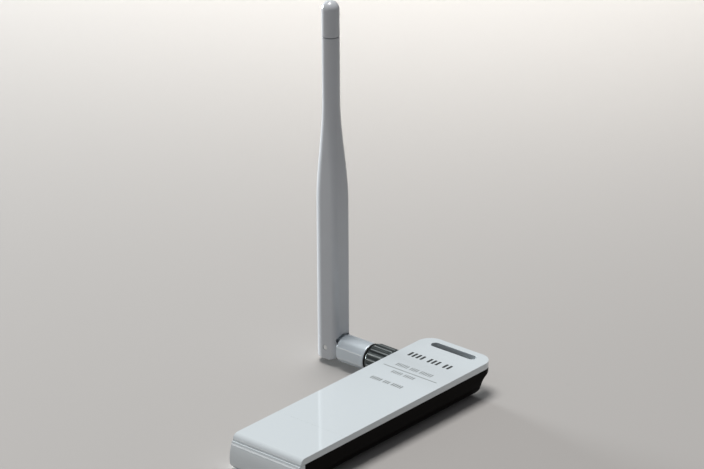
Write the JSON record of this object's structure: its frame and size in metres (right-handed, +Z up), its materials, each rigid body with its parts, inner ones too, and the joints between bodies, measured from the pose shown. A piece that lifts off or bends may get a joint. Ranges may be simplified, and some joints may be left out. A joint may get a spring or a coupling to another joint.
{
  "type": "usb wifi adapter",
  "caption": "Slim capped USB wireless adapter with a lanyard slot and a screw-on whip antenna that swivels and folds.",
  "frame": {"origin": "middle of the case's flat underside, which it rests on", "axes": "+Z up out of the top cover; -X towards the capped USB plug and +X towards the lanyard slot; +Y out of the side that carries the antenna jack"},
  "size_m": [0.0926, 0.058, 0.1211],
  "materials": {
    "white_gloss": "glossy white moulded plastic",
    "black_gloss": "glossy black moulded plastic",
    "grey_plastic": "smooth pale grey moulded plastic",
    "satin_nickel": "satin nickel",
    "dark_chrome": "dark chrome, fluted",
    "plug_steel": "bright formed sheet steel",
    "gold_plate": "gold-coloured plating",
    "copper": "bare copper",
    "circuit_board": "green solder mask",
    "chip_black": "black moulded epoxy",
    "ceramic": "tan ceramic",
    "ivory_plastic": "ivory insulator",
    "black_rubber": "matte black",
    "led_lens": "clear tinted lens"
  },
  "bodies": {
    "root": {"top_cover": "white_gloss", "bottom_shell": "black_gloss", "main_board": "circuit_board", "rf_shield_can": "plug_steel", "wifi_chip": "chip_black", "power_amplifier": "chip_black", "crystal": "plug_steel", "eeprom": "chip_black", "voltage_regulator": "chip_black", "rf_filter": "ceramic", "status_led": "led_lens", "inductor_1": "chip_black", "inductor_2": "chip_black", "capacitor_1": "ceramic", "capacitor_2": "ceramic", "capacitor_3": "ceramic", "capacitor_4": "ceramic", "capacitor_5": "ceramic", "capacitor_6": "ceramic", "usb_plug_shell": "plug_steel", "usb_plug_tongue": "ivory_plastic", "usb_contact_1": "gold_plate", "usb_contact_2": "gold_plate", "usb_contact_3": "gold_plate", "usb_contact_4": "gold_plate", "jack_body": "gold_plate", "jack_insulator": "ivory_plastic", "jack_pin": "gold_plate"},
    "cap": {"cap_cover": "white_gloss", "cap_nose": "white_gloss", "cap_shell": "black_gloss"},
    "antenna_plug": {"plug_ferrule": "satin_nickel", "plug_insulator": "ivory_plastic", "plug_socket": "gold_plate", "retaining_ring": "plug_steel"},
    "nut": {"coupling_nut": "dark_chrome"},
    "barrel": {"swivel_barrel": "satin_nickel", "gap_washer": "black_rubber", "barrel_coax": "ivory_plastic"},
    "whip": {"whip_sleeve": "grey_plastic", "whip_tip": "grey_plastic", "hinge_pin": "plug_steel", "whip_coax": "ivory_plastic", "choke_tube": "copper", "lower_radiator": "copper", "phasing_coil": "copper", "upper_radiator": "copper"}
  },
  "joints": [
    {"name": "cap_slide", "type": "slide", "parent": "root", "child": "cap", "axis": [-1, 0, 0], "range_m": [0, 0.022]},
    {"name": "antenna_detach", "type": "slide", "parent": "root", "child": "antenna_plug", "axis": [0, 1, 0], "range_m": [0, 0.0085]},
    {"name": "nut_spin", "type": "hinge", "parent": "antenna_plug", "child": "nut", "pos_m": [0.03025, 0.019, 0.006], "axis": [0, 1, 0], "continuous": true},
    {"name": "barrel_swivel", "type": "hinge", "parent": "antenna_plug", "child": "barrel", "pos_m": [0.03025, 0.03, 0.006], "axis": [0, 1, 0], "continuous": true},
    {"name": "whip_tilt", "type": "hinge", "parent": "barrel", "child": "whip", "pos_m": [0.03025, 0.0395, 0.006], "axis": [-1, 0, 0], "range_deg": [0, 90]}
  ]
}
